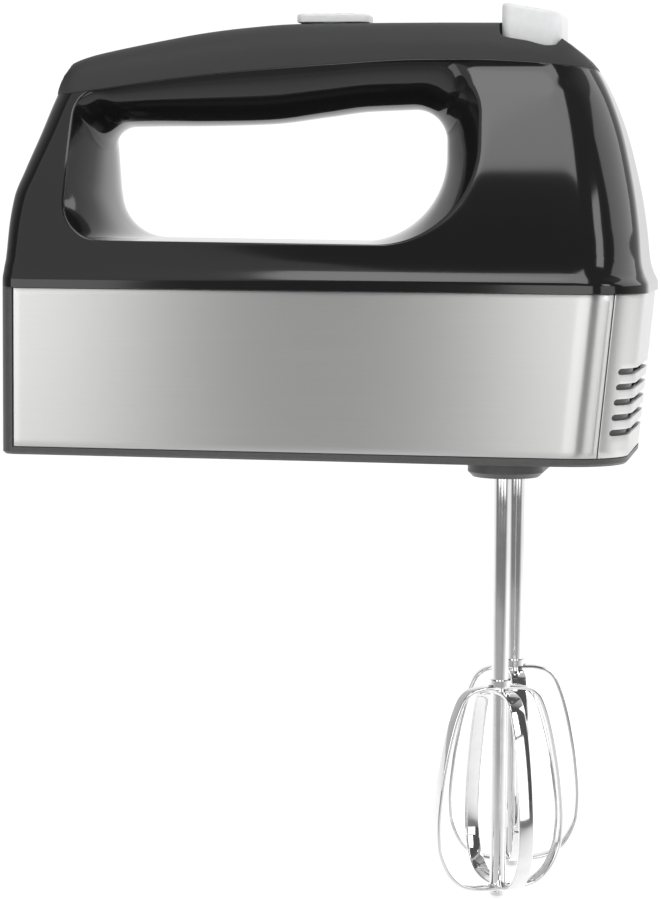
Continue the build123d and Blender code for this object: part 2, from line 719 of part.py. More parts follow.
with BuildPart() as eject_button:
    with BuildSketch(Plane.XY.offset(at_height(BUTTON_BASE))):
        with Locations((BUTTON_X, 0)):
            RectangleRounded(BUTTON_LENGTH, 2 * BUTTON_HALF_WIDTH, 4.0)
    extrude(amount=30)
    with BuildSketch(Plane.XZ) as button_side:
        Polygon(
            (BUTTON_X - 20, at_height(BUTTON_TOP_REAR + 1.75)),
            (BUTTON_X + 20, at_height(BUTTON_TOP_FRONT - 1.75)),
            (BUTTON_X + 20, at_height(170)),
            (BUTTON_X - 20, at_height(170)),
            align=None,
        )
    extrude(amount=40, both=True, mode=Mode.SUBTRACT)
    fillet(eject_button.faces().sort_by(Axis.Z)[-1].edges(), 1.2)
    # retaining tabs under the cover, front and rear
    add(block(BUTTON_X - 13, BUTTON_X + 13, -8, 8, BUTTON_BASE, BUTTON_BASE + 1.6))
    # hollow underside with the rod boss
    add(block(BUTTON_X - 8, BUTTON_X + 8, -11.5, 11.5, BUTTON_BASE, BUTTON_BASE + 13), mode=Mode.SUBTRACT)
    add(ring(0, 5.0, BUTTON_BASE, BUTTON_BASE + 14, BUTTON_X, 0))
    add(ring(0, ROD_R, BUTTON_BASE - 1, BUTTON_BASE + 8, BUTTON_X, 0), mode=Mode.SUBTRACT)
save(eject_button.part, "eject_button")

with BuildPart() as ejector_yoke:
    add(ring(0, ROD_R, YOKE_LOW, BUTTON_BASE + 8, BUTTON_X, 0))
    with BuildSketch(Plane.XY.offset(at_height(YOKE_LOW))):
        with Locations((BEATER_X + 2, 0)):
            SlotCenterToCenter(2 * BEATER_HALF_GAP, 14.0, rotation=90)
    extrude(amount=3)
    for _, side in SIDES:
        add(ring(0, PIN_R, PIN_BOTTOM, YOKE_LOW + 1, BEATER_X, side * BEATER_HALF_GAP))
save(ejector_yoke.part, "ejector_yoke")

with BuildPart() as ejector_guide:
    with BuildSketch(Plane.XY.offset(at_height(GUIDE_TOP - 3))):
        with Locations((BUTTON_X, 0)):
            RectangleRounded(26.0, 40.0, 5.0)
            Circle(ROD_R + RUN, mode=Mode.SUBTRACT)
    extrude(amount=3)
    add(upper_form(WALL), mode=Mode.INTERSECT)
save(ejector_guide.part, "ejector_guide")

SPRING_R = 6.5
SPRING_WIRE_R = 0.5
with BuildPart() as eject_spring:
    spring_bottom = at_height(GUIDE_TOP) + SPRING_WIRE_R
    spring_length = BUTTON_BASE - GUIDE_TOP - 2 * SPRING_WIRE_R
    with BuildLine() as coil:
        Helix(spring_length / 6, spring_length, SPRING_R, center=(BUTTON_X, 0, spring_bottom))
    with BuildSketch(Plane(coil.line @ 0, z_dir=coil.line % 0)):
        Circle(SPRING_WIRE_R)
    sweep(path=coil.line, is_frenet=True)
save(eject_spring.part, "eject_spring")

# ---------------------------------------------------------------- speed slider and board
BOARD_TOP = 122.6
SLIDER_LOW = 141.0

with BuildPart() as speed_slider:
    with BuildSketch(Plane.XY.offset(at_height(SLIDER_LOW))):
        with Locations((SLIDER_X, 0)):
            RectangleRounded(SLIDER_LENGTH, 2 * SLIDER_HALF_WIDTH, 3.0)
    extrude(amount=1.9)
    fillet(speed_slider.faces().sort_by(Axis.Z)[-1].edges(), 0.8)
    for step in range(4):
        add(block(SLIDER_X - 7.8 + 4 * step, SLIDER_X - 4.2 + 4 * step, -5, 5, SLIDER_LOW + 1, SLIDER_LOW + 2.7))
    add(block(SLIDER_X - 4, SLIDER_X + 4, -2.5, 2.5, 131, SLIDER_LOW + 1))
    add(block(SLIDER_X - 9, SLIDER_X + 9, -8, 8, 129, 132))
save(speed_slider.part, "speed_slider")

with BuildPart() as speed_wiper:
    add(block(SLIDER_X - 6, SLIDER_X + 6, -5, 5, 128.2, 129))
    for side in (-1, 1):
        add(block(SLIDER_X - 1.5, SLIDER_X + 1.5, side * 4 - 1, side * 4 + 1, BOARD_TOP + 0.8, 128.5))
save(speed_wiper.part, "speed_wiper")

with BuildPart() as speed_board:
    add(block(-6, 58, -12, 12, 121, BOARD_TOP))
    for x in (2, 53.5):
        add(ring(0, 4.0, 121.2, BOARD_TOP + 3, x, 7.0))
save(speed_board.part, "speed_board")

with BuildPart() as speed_contacts:
    for side in (-1, 1):
        add(block(10, 46, side * 4 - 1.5, side * 4 + 1.5, BOARD_TOP, BOARD_TOP + 0.4))
    add(block(10, 14, -5, 5, BOARD_TOP, BOARD_TOP + 0.4))
save(speed_contacts.part, "speed_contacts")
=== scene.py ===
import json
import math

import bmesh
import bpy
import numpy as np
from mathutils import Matrix, Vector


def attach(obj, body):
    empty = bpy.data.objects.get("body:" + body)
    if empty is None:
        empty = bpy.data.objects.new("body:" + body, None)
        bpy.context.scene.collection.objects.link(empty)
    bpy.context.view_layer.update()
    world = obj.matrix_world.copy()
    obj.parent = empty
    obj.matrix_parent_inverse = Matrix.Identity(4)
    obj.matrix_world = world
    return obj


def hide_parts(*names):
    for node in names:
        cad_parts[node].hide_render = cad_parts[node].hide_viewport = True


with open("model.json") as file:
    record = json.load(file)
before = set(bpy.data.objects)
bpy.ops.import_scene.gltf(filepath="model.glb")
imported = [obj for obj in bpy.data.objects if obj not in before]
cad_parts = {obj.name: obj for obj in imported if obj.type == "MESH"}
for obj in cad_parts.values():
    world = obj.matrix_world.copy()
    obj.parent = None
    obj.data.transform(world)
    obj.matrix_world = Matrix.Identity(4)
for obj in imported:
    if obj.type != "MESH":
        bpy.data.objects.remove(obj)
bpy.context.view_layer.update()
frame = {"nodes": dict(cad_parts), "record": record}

MM = 0.001
GRIP_HEIGHT = 125.0  # grip centre above the body's underside


# ---------------------------------------------------------------- small numpy tools
def eased_curve(at, knots, values):
    """Monotone cubic through (knots, values): slopes are the harmonic mean of neighbouring chords."""
    knots = np.asarray(knots, float)
    values = np.asarray(values, float)
    gap = np.diff(knots)
    chord = np.diff(values) / gap
    slope = np.zeros_like(values)
    product = chord[:-1] * chord[1:]
    total = chord[:-1] + chord[1:]
    inner = np.where(product > 0, 2 * product / np.where(total == 0, 1, total), 0.0)
    slope[1:-1] = inner
    slope[0] = chord[0]
    slope[-1] = chord[-1]
    at = np.clip(np.asarray(at, float), knots[0], knots[-1])
    cell = np.clip(np.searchsorted(knots, at) - 1, 0, len(gap) - 1)
    t = (at - knots[cell]) / gap[cell]
    start, end = values[cell], values[cell + 1]
    m0, m1 = slope[cell] * gap[cell], slope[cell + 1] * gap[cell]
    return (
        start * (2 * t**3 - 3 * t**2 + 1)
        + m0 * (t**3 - 2 * t**2 + t)
        + end * (3 * t**2 - 2 * t**3)
        + m1 * (t**3 - t**2)
    )


def grid_faces(rows, columns, closed=False):
    """Quads of a rows by columns grid of points; closed joins the last row to the first."""
    row = np.arange(rows if closed else rows - 1)[:, None]
    column = np.arange(columns - 1)[None, :]
    follow = (row + 1) % rows
    quads = np.stack(
        (
            row * columns + column,
            follow * columns + column,
            follow * columns + column + 1,
            row * columns + column + 1,
        ),
        axis=-1,
    )
    return quads.reshape(-1, 4)


def opened(faces, distance, edge):
    """The faces whose corners' mean distance is more than edge; the rest leave an opening."""
    return faces[distance.reshape(-1)[faces].mean(axis=1) > edge]


def joined(sheets):
    """One point list and one face list from several (points, faces) sheets."""
    points, faces, base = [], [], 0
    for sheet_points, sheet_faces in sheets:
        flat = np.asarray(sheet_points, float).reshape(-1, 3)
        points.append(flat)
        faces.append(np.asarray(sheet_faces) + base)
        base += len(flat)
    return np.concatenate(points), np.concatenate(faces)


def finished_piece(name, body, nodes, material, sheets, weld=0.01, sharp_angle=38.0):
    """A mesh piece from sheets in millimetres: welds touching points, turns faces outwards, and
    rides its body."""
    points, faces = joined(sheets)
    mesh = bpy.data.meshes.new(name)
    mesh.from_pydata((points * MM).tolist(), [], faces.tolist())
    mesh.validate()
    piece = bpy.data.objects.new(name, mesh)
    bpy.context.scene.collection.objects.link(piece)
    welded = bmesh.new()
    welded.from_mesh(mesh)
    bmesh.ops.remove_doubles(welded, verts=welded.verts, dist=weld * MM)
    bmesh.ops.dissolve_degenerate(welded, dist=weld * MM * 0.5, edges=welded.edges)
    bmesh.ops.recalc_face_normals(welded, faces=welded.faces)
    welded.to_mesh(mesh)
    welded.free()
    mesh.shade_smooth()
    mesh.set_sharp_from_angle(angle=math.radians(sharp_angle))
    mesh.materials.append(material)
    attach(piece, body)
    if nodes:
        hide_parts(*nodes)
    return piece


# ---------------------------------------------------------------- finishes
def new_finish(name):
    """A node material and its Principled shader."""
    finish = bpy.data.materials.new(name)
    finish.use_nodes = True
    return finish, finish.node_tree.nodes["Principled BSDF"]


def grain(finish, scale, stretch):
    """Noise on Object coordinates, stretched along the axes."""
    nodes, links = finish.node_tree.nodes, finish.node_tree.links
    place = nodes.new("ShaderNodeTexCoord")
    mapping = nodes.new("ShaderNodeMapping")
    mapping.inputs["Scale"].default_value = stretch
    noise = nodes.new("ShaderNodeTexNoise")
    noise.inputs["Scale"].default_value = scale
    noise.inputs["Detail"].default_value = 4.0
    noise.inputs["Roughness"].default_value = 0.5
    links.new(place.outputs["Object"], mapping.inputs["Vector"])
    links.new(mapping.outputs["Vector"], noise.inputs["Vector"])
    return noise.outputs["Fac"]


def mapped(finish, source, low, high, start=0.0, end=1.0):
    """A value moved from start..end to low..high."""
    node = finish.node_tree.nodes.new("ShaderNodeMapRange")
    node.inputs["From Min"].default_value = start
    node.inputs["From Max"].default_value = end
    node.inputs["To Min"].default_value = low
    node.inputs["To Max"].default_value = high
    finish.node_tree.links.new(source, node.inputs["Value"])
    return node.outputs["Result"]


def tinted(finish, source, dark, light):
    """A colour ramp between two shades."""
    ramp = finish.node_tree.nodes.new("ShaderNodeValToRGB")
    ramp.color_ramp.elements[0].color = (*dark, 1)
    ramp.color_ramp.elements[0].position = 0.3
    ramp.color_ramp.elements[1].color = (*light, 1)
    ramp.color_ramp.elements[1].position = 0.7
    finish.node_tree.links.new(source, ramp.inputs["Fac"])
    return ramp.outputs["Color"]


def bumped(finish, shader, height, strength, distance):
    """Bump from a height value into the shader's normal."""
    bump = finish.node_tree.nodes.new("ShaderNodeBump")
    bump.inputs["Strength"].default_value = strength
    bump.inputs["Distance"].default_value = distance
    finish.node_tree.links.new(height, bump.inputs["Height"])
    finish.node_tree.links.new(bump.outputs["Normal"], shader.inputs["Normal"])


def plain_finish(name, dark, light, rough, metal=0.0, scale=90.0, stretch=(1, 1, 1), bump=0.05, depth=0.0002):
    """Colour, roughness and bump that vary a little with the grain."""
    finish, shader = new_finish(name)
    pattern = grain(finish, scale, stretch)
    links = finish.node_tree.links
    links.new(tinted(finish, pattern, dark, light), shader.inputs["Base Color"])
    links.new(mapped(finish, pattern, *rough, 0.3, 0.7), shader.inputs["Roughness"])
    shader.inputs["Metallic"].default_value = metal
    bumped(finish, shader, pattern, bump, depth)
    return finish


gloss_black = plain_finish(
    "gloss_black_shell", (0.010, 0.010, 0.011), (0.013, 0.013, 0.014), (0.07, 0.10),
    scale=12, bump=0.02, depth=0.0003,
)
soft_dark = plain_finish(
    "textured_dark_cover", (0.024, 0.024, 0.025), (0.031, 0.031, 0.032), (0.52, 0.64),
    scale=2600, bump=0.30, depth=0.00008,
)
satin_trim = plain_finish(
    "satin_dark_trim", (0.062, 0.062, 0.063), (0.075, 0.075, 0.076), (0.38, 0.46),
    scale=900, bump=0.10, depth=0.00005,
)
button_grey = plain_finish(
    "light_grey_button", (0.82, 0.825, 0.83), (0.86, 0.865, 0.87), (0.28, 0.34),
    scale=500, bump=0.05, depth=0.00005,
)
bright_chrome = plain_finish(
    "bright_chrome", (0.74, 0.74, 0.745), (0.80, 0.80, 0.805), (0.03, 0.07),
    metal=1.0, scale=160, bump=0.02, depth=0.00005,
)
brushed_steel = plain_finish(
    "brushed_steel_panel", (0.595, 0.595, 0.59), (0.622, 0.622, 0.617), (0.275, 0.305),
    metal=1.0, scale=6500, stretch=(0.003, 0.003, 1.0), bump=0.03, depth=0.00002,
)
brushed_shader = brushed_steel.node_tree.nodes["Principled BSDF"]
brushed_shader.inputs["Anisotropic"].default_value = 0.85
brushed_shader.inputs["Anisotropic Rotation"].default_value = 0.25
brushed_way = brushed_steel.node_tree.nodes.new("ShaderNodeTangent")
brushed_way.direction_type = "RADIAL"
brushed_way.axis = "Z"
brushed_steel.node_tree.links.new(brushed_way.outputs["Tangent"], brushed_shader.inputs["Tangent"])
zinc_steel = plain_finish(
    "zinc_plated_steel", (0.45, 0.45, 0.46), (0.56, 0.56, 0.57), (0.28, 0.4),
    metal=1.0, scale=300,
)
cast_metal = plain_finish(
    "cast_frame_metal", (0.48, 0.48, 0.48), (0.58, 0.58, 0.58), (0.4, 0.55),
    metal=1.0, scale=700, bump=0.2,
)
bronze_metal = plain_finish(
    "sintered_bronze", (0.48, 0.30, 0.13), (0.60, 0.40, 0.19), (0.35, 0.5),
    metal=1.0, scale=900, bump=0.15,
)
sheet_stack = plain_finish(
    "stacked_sheets", (0.10, 0.10, 0.105), (0.22, 0.22, 0.225), (0.4, 0.55),
    metal=0.8, scale=900, stretch=(1, 0.02, 0.02), bump=0.3,
)
copper_wire = plain_finish(
    "enamelled_copper", (0.42, 0.17, 0.07), (0.55, 0.25, 0.11), (0.25, 0.4),
    metal=1.0, scale=1200, stretch=(0.05, 1, 1), bump=0.4,
)
white_moulding = plain_finish(
    "white_moulding", (0.72, 0.70, 0.65), (0.78, 0.76, 0.72), (0.35, 0.45),
    scale=300,
)
pressed_carbon = plain_finish(
    "pressed_carbon", (0.02, 0.02, 0.02), (0.035, 0.035, 0.035), (0.6, 0.75),
    scale=900, bump=0.2,
)
board_green = plain_finish("board_green", (0.03, 0.11, 0.06), (0.04, 0.14, 0.08), (0.3, 0.45), scale=600)
soft_rubber = plain_finish(
    "soft_rubber", (0.018, 0.018, 0.018), (0.026, 0.026, 0.026), (0.6, 0.7),
    scale=1200, bump=0.2,
)

FINISH_OF_SLOT = {
    "black_gloss": gloss_black,
    "dark_soft": soft_dark,
    "dark_trim": satin_trim,
    "brushed_panel": brushed_steel,
    "light_grey": button_grey,
    "chrome_wire": bright_chrome,
    "zinc_steel": zinc_steel,
    "frame_metal": cast_metal,
    "bronze": bronze_metal,
    "lamination": sheet_stack,
    "copper": copper_wire,
    "white_gear": white_moulding,
    "carbon": pressed_carbon,
    "board_green": board_green,
    "soft_rubber": soft_rubber,
}
for entry in frame["record"]["subparts"]:
    cad_object = frame["nodes"][entry["node"]]
    cad_object.data.materials.clear()
    cad_object.data.materials.append(FINISH_OF_SLOT[entry["material_slot"]])


# ---------------------------------------------------------------- body form
# Levels of the body: height, rear X, front X, half width, rear and front corner radius.
LEVELS = np.array(
    (
        (54.0, -83.4, 124.2, 44.0, 6.0, 20.5),
        (56.6, -83.4, 124.1, 43.9, 6.0, 20.5),
        (60.0, -83.3, 122.7, 42.5, 6.0, 20.3),
        (63.5, -83.1, 121.7, 41.35, 6.5, 20.0),
        (74.0, -82.8, 120.6, 38.9, 7.0, 20.0),
        (83.0, -82.0, 119.3, 36.3, 7.5, 19.5),
        (92.0, -79.2, 117.5, 33.5, 8.0, 19.0),
        (104.0, -75.1, 114.5, 29.2, 8.5, 18.0),
        (116.0, -71.4, 110.1, 24.3, 9.0, 16.5),
        (126.0, -67.0, 104.6, 19.7, 9.0, 15.0),
        (136.0, -63.6, 95.0, 18.0, 9.0, 13.0),
    )
)
REAR_TURN, SIDE_START, SIDE_END, NOSE_TURN = 0.10, 0.16, 0.80, 0.92


def level_values(height):
    """Rear X, front X, half width and corner radii of the body at a height."""
    return [eased_curve(height, LEVELS[:, 0], LEVELS[:, column]) for column in range(1, 6)]


def outline_point(share, rear, front, half, rear_r, front_r):
    """Half outline from the rear middle to the nose middle: flat, corner, flat, corner, flat; the corners
    are quarter circles."""
    share = np.asarray(share, float)
    rear_angle = np.clip((share - REAR_TURN) / (SIDE_START - REAR_TURN), 0, 1) * math.pi / 2
    front_angle = np.clip((share - SIDE_END) / (NOSE_TURN - SIDE_END), 0, 1) * math.pi / 2
    along = np.clip((share - SIDE_START) / (SIDE_END - SIDE_START), 0, 1)
    x = rear + rear_r * (1 - np.cos(rear_angle))
    x = x + (front - front_r - rear - rear_r) * along
    x = x + front_r * np.sin(front_angle)
    y = (half - rear_r) * np.clip(share / REAR_TURN, 0, 1) + rear_r * np.sin(rear_angle)
    y = y - front_r * (1 - np.cos(front_angle))
    y = y - (half - front_r) * np.clip((share - NOSE_TURN) / (1 - NOSE_TURN), 0, 1)
    return x, -y


def body_point(share, height):
    """Point of the upper body's outside at a share of its half outline and a height."""
    x, y = outline_point(share, *level_values(height))
    return np.stack((x, y, np.asarray(height, float) - GRIP_HEIGHT), axis=-1)


SEAM_X = (-85.0, -69.6, -58.0, -32.4, -4.8, 20.5, 47.9, 64.3, 81.9, 96.8, 106.0, 112.0)
SEAM_Z = (115.0, 116.2, 117.7, 121.4, 124.3, 126.1, 127.6, 127.7, 127.0, 125.6, 124.4, 123.6)


def seam_height(share):
    """Height of the joint under the handle cover, found by repeated substitution."""
    height = np.full(np.shape(share), 122.0)
    for _ in range(12):
        x, _ = outline_point(share, *level_values(height))
        height = eased_curve(x, SEAM_X, SEAM_Z)
    return height


def share_at(x, height):
    """Share of the half outline on the side where X has a value, at a height."""
    rear, front, _, rear_r, front_r = level_values(height)
    along = (x - rear - rear_r) / (front - front_r - rear - rear_r)
    on_side = SIDE_START + (SIDE_END - SIDE_START) * along
    turn = np.arccos(np.clip(1 - (x - rear) / rear_r, -1, 1)) / (math.pi / 2)
    in_corner = SIDE_START - (SIDE_START - REAR_TURN) * (1 - turn)
    return np.where(along >= 0, on_side, in_corner)


def even_loop(corners, radii, count):
    """Closed four-sided curve with rounded corners, walked counter-clockwise in equal steps per side."""
    corners = np.asarray(corners, float)
    pieces = []
    for index in range(4):
        corner = corners[index]
        before = corners[index - 1] - corner
        after = corners[(index + 1) % 4] - corner
        before_unit = before / np.linalg.norm(before)
        after_unit = after / np.linalg.norm(after)
        half = math.acos(float(before_unit @ after_unit)) / 2
        reach = radii[index] / math.tan(half)
        middle = (before_unit + after_unit) / np.linalg.norm(before_unit + after_unit)
        centre = corner + middle * radii[index] / math.sin(half)
        start = corner + before_unit * reach - centre
        sweep = math.pi - 2 * half
        angle = np.linspace(0, sweep, count // 8)[:, None]
        turned = np.stack((-start[1:2], start[0:1]), axis=-1)
        pieces.append(centre + start * np.cos(angle) + turned * np.sin(angle))
    walked = []
    for index in range(4):
        arc, following = pieces[index], pieces[(index + 1) % 4]
        half_arc = len(arc) // 2
        line = np.linspace(arc[-1], following[0], count // 8 + 2)[1:-1]
        walked.append(np.concatenate((arc[half_arc:], line, following[:half_arc])))
    return walked


# ---------------------------------------------------------------- finger opening
HOLE_CORNERS = ((-57.6, 70.2), (57.0, 69.4), (56.4, 112.8), (-57.6, 106.6))
HOLE_RADII = (17.0, 27.0, 10.5, 9.0)
CREASE_CORNERS = ((-63.6, 69.4), (71.6, 68.6), (69.4, 127.8), (-63.0, 117.6))
CREASE_RADII = (13.0, 31.0, 17.0, 8.0)
GRIP_UNDER_X = (-58.0, -40.0, -23.0, -2.0, 17.0, 31.0, 47.0, 58.0)
GRIP_UNDER_RISE = (0.0, -0.6, -1.4, -1.9, -0.6, 0.4, 0.2, 0.0)  # over the straight line between the corners
SIDE_STEPS = 96  # points along each side of the opening's loop
FLARE_STEPS, OUTER_STEPS = 40, 44  # points from the mid-plane to the crease, and on to the border
FLARE_POWER = 2.3


def resampled(points, count):
    """Points at equal distances along a walked line."""
    step = np.concatenate(([0], np.cumsum(np.linalg.norm(np.diff(points, axis=0), axis=1))))
    at = np.linspace(0, step[-1], count)
    return np.stack([np.interp(at, step, points[:, axis]) for axis in range(points.shape[1])], axis=-1)


def matched_sides(corners, radii):
    """The rounded loop as four sides of equally spaced points: bottom, front, top, rear."""
    walked = even_loop(corners, radii, 400)
    return [resampled(side, SIDE_STEPS) for side in walked]


def eased_rows(points, middle, reach, rounds):
    """Softens a crease: repeated averaging of each point with its neighbours along axis 1 near row middle."""
    columns = np.arange(points.shape[1])
    weight = np.clip(1 - np.abs(columns - middle) / reach, 0, 1)[None, :, None]
    weight[:, 0] = 0
    weight[:, -1] = 0
    for _ in range(rounds):
        mean = points.copy()
        mean[:, 1:-1] = 0.25 * points[:, :-2] + 0.5 * points[:, 1:-1] + 0.25 * points[:, 2:]
        points = points + weight * (mean - points)
    return points


UNDER_EDGE = 54.15  # lowest height of the upper housing's outside


def border_sides():
    """Outer border of the side in shares and heights: bottom edge, nose, seam and rear."""
    run = np.linspace(0, 1, SIDE_STEPS)
    bottom = np.stack((run, np.full(SIDE_STEPS, UNDER_EDGE)), axis=-1)
    nose_top = float(seam_height(np.array(1.0)))
    rear_top = float(seam_height(np.array(0.0)))
    nose = np.stack((np.ones(SIDE_STEPS), UNDER_EDGE + (nose_top - UNDER_EDGE) * run), axis=-1)
    seam = np.stack((1 - run, seam_height(1 - run)), axis=-1)
    rear = np.stack((np.zeros(SIDE_STEPS), rear_top + (UNDER_EDGE - rear_top) * run), axis=-1)
    return [bottom, nose, seam, rear]


def housing_side():
    """One side of the upper housing: from the hole at mid-plane out over the flare to the crease, then
    over the body's outside to its border. The flare leaves the mid-plane level and grows as a power of
    the way out; over the grip it is a quarter ellipse instead."""
    hole = np.concatenate(matched_sides(HOLE_CORNERS, HOLE_RADII))
    near_grip = np.clip((hole[:, 1] - 92) / 12, 0, 1)
    hole[:, 1] += eased_curve(hole[:, 0], GRIP_UNDER_X, GRIP_UNDER_RISE) * near_grip
    crease_view = np.concatenate(matched_sides(CREASE_CORNERS, CREASE_RADII))
    border = np.concatenate(border_sides())
    crease_x = crease_view[:, 0]
    crease_h = crease_view[:, 1].copy()
    seam_here = eased_curve(crease_x, SEAM_X, SEAM_Z)
    crease_h = np.minimum(crease_h, seam_here)
    over_grip = np.clip((crease_h - 100) / 14, 0, 1)
    over_grip = over_grip * np.clip((crease_x + 63) / 10, 0, 1) * np.clip((70 - crease_x) / 10, 0, 1)
    crease_h = crease_h + (seam_here - crease_h) * np.clip(over_grip * 1.6 - 0.6, 0, 1)
    crease_share = share_at(crease_x, crease_h)
    crease = body_point(crease_share, crease_h)
    inside = np.stack((hole[:, 0], np.zeros(len(hole)), hole[:, 1] - GRIP_HEIGHT), axis=-1)
    turn = np.linspace(0, math.pi / 2, FLARE_STEPS)[None, :]
    reach = np.sin(turn)
    flare = reach**FLARE_POWER
    ellipse = 1 - np.cos(turn)
    blend = over_grip[:, None]
    rise = (1 - blend) * flare + blend * ellipse
    first = np.empty((len(hole), FLARE_STEPS, 3))
    first[..., 1] = crease[:, None, 1] * reach
    first[..., 0] = inside[:, None, 0] + (crease[:, None, 0] - inside[:, None, 0]) * rise
    first[..., 2] = inside[:, None, 2] + (crease[:, None, 2] - inside[:, None, 2]) * rise
    out = np.linspace(0, 1, OUTER_STEPS)[None, 1:]
    shares = crease_share[:, None] + (border[:, 0] - crease_share)[:, None] * out
    heights = crease_h[:, None] + (border[:, 1] - crease_h)[:, None] * out
    second = body_point(shares, heights)
    whole = np.concatenate((first, second), axis=1)
    return eased_rows(whole, FLARE_STEPS - 1, 4.0, 6)


def mirrored(points):
    """The same points on the other side of the mid-plane."""
    return points * np.array((1.0, -1.0, 1.0))


def lip(edge, turn_in, drop):
    """A narrow strip from an edge line: a quarter turn inwards by turn_in towards drop, then straight on."""
    angle = np.linspace(0, math.pi / 2, 5)
    rows = [edge + turn_in * (1 - math.cos(a)) + drop * math.sin(a) for a in angle]
    rows.append(rows[-1] + turn_in * 5)
    return np.stack(rows, axis=1)


def inward(edge):
    """Unit vectors in the level plane from an outline towards the body's inside."""
    along = np.gradient(edge, axis=0)
    normal = np.stack((-along[:, 1], along[:, 0], np.zeros(len(edge))), axis=-1)
    normal /= np.maximum(np.linalg.norm(normal, axis=1, keepdims=True), 1e-9)
    centre = np.array((20.0, 0.0, 0.0)) - edge
    facing = np.sign(np.sum(normal[:, :2] * centre[:, :2], axis=1))[:, None]
    return normal * np.where(facing == 0, 1, facing)


# ---------------------------------------------------------------- upper housing and cord gland
INLET_HEIGHT, INLET_R, GLAND_R = 68.0, 3.9, 6.3
WALL_TURN, WALL_TURN_WIDTH = 9.0, 0.6  # how far the rear wall turns in at the gland, and over what width
REAR_WALL_X = -75.0  # the rear wall lies behind this
FAR = 99.0
EDGE_COUNT = 300


def from_inlet(points):
    """Distance from the cord inlet's axis on the rear wall; far elsewhere."""
    away = np.hypot(points[..., 1], points[..., 2] + GRIP_HEIGHT - INLET_HEIGHT)
    return np.where(points[..., 0] < REAR_WALL_X, away, FAR)


side = housing_side()
inlet_away = from_inlet(side)
# the rear wall turns in under the gland's collar, and is open within
side[..., 0] += WALL_TURN * np.clip((GLAND_R - 0.3 - inlet_away) / WALL_TURN_WIDTH, 0, 1)
side_faces = opened(grid_faces(*side.shape[:2], closed=True), inlet_away, GLAND_R - 1.0)
housing_sheets = [(side, side_faces), (mirrored(side), side_faces)]
fine_share = np.linspace(0, 1, EDGE_COUNT)
for edge_height, step_down in ((seam_height(fine_share), 0.35), (np.full(EDGE_COUNT, UNDER_EDGE), -0.15)):
    edge = body_point(fine_share, edge_height)
    strip = lip(edge, inward(edge) * 0.35, np.array((0.0, 0.0, step_down)))
    strip_faces = grid_faces(*strip.shape[:2])
    housing_sheets += [(strip, strip_faces), (mirrored(strip), strip_faces)]
finished_piece(
    "upper_housing_shell", "housing", ["upper_housing"], gloss_black, housing_sheets
)

# Cord gland: section (X, radius) turned about the inlet's axis; its collar stands on the rear wall.
gland_section = np.array(
    (
        (-72.0, INLET_R),
        (-82.6, INLET_R),
        (-83.05, INLET_R + 0.2),
        (-83.25, INLET_R + 0.7),
        (-83.3, INLET_R + 1.2),
        (-83.3, GLAND_R - 0.3),
        (-83.2, GLAND_R + 0.1),
        (-82.9, GLAND_R + 0.3),
        (-81.5, GLAND_R + 0.3),
        (-81.5, GLAND_R - 0.5),
        (-72.0, GLAND_R - 0.5),
        (-72.0, INLET_R),
    )
)
gland_turn = np.radians(np.linspace(0, 360, 73))[:, None]
gland_grid = (len(gland_turn), len(gland_section))
gland_points = np.stack(
    (
        np.broadcast_to(gland_section[:, 0], gland_grid),
        gland_section[:, 1] * np.sin(gland_turn),
        INLET_HEIGHT - GRIP_HEIGHT + gland_section[:, 1] * np.cos(gland_turn),
    ),
    axis=-1,
)
gland_sheets = [(gland_points, grid_faces(*gland_grid))]
finished_piece(
    "cord_gland_ring", "housing", ["cord_gland"], soft_rubber, gland_sheets, weld=0.001
)


# ---------------------------------------------------------------- handle cover
SPINE_X = (-76.0, -66.0, -45.0, -24.0, -10.0, 5.0, 18.0, 45.0, 72.0, 84.0)
SPINE_Z = (125.6, 128.5, 133.4, 137.4, 139.1, 140.2, 140.45, 140.5, 140.5, 140.5)


def crown_height(x):
    """Height of the handle's top line at X."""
    return eased_curve(x, SPINE_X, SPINE_Z)


# Saddle cut across the cover under the button: height at X.
SADDLE_X = (73.6, 74.2, 74.5, 75.2, 77.0, 84.0, 90.6, 92.8, 94.2, 95.2, 97.5)
SADDLE_Z = (142.0, 140.0, 137.6, 135.8, 135.0, 133.7, 132.2, 132.4, 134.0, 135.6, 140.0)
# Flat rear facet and falling nose of the cover: highest point allowed at X.
END_X = (-74.0, -66.0, -60.0, 89.0, 94.3, 99.2, 102.1, 104.6, 107.5)
END_Z = (111.2, 125.6, 150.0, 146.0, 134.9, 131.1, 128.6, 125.9, 121.5)
BUTTON_X, BUTTON_HALF_X, BUTTON_HALF_Y, BUTTON_CORNER = 84.6, 10.0, 13.5, 4.0
BUTTON_GAP = 0.45
SLOT_LOW_X, SLOT_HIGH_X, SLOT_HALF_Y = 14.1, 43.1, 3.0
BUTTON_WALL, SLOT_WALL = (6.0, 0.5), (3.0, 0.6)  # depth and width of the edge turned down at an opening
OPENING_EDGE = -0.33  # faces further inside an opening than this are left out
SEAM_GAP = 0.45
NO_CUT = 999.0


def outside_distance(x, y, half_x, half_y, corner):
    """Distance outside a rounded rectangle about the origin; negative inside."""
    dx = np.abs(x) - half_x + corner
    dy = np.abs(y) - half_y + corner
    outer = np.hypot(np.maximum(dx, 0), np.maximum(dy, 0))
    return outer + np.minimum(np.maximum(dx, dy), 0) - corner


def button_distance(x, y):
    """Distance outside the button's opening in the cover."""
    half_x, half_y = BUTTON_HALF_X + BUTTON_GAP, BUTTON_HALF_Y + BUTTON_GAP
    return outside_distance(x - BUTTON_X, y, half_x, half_y, BUTTON_CORNER)


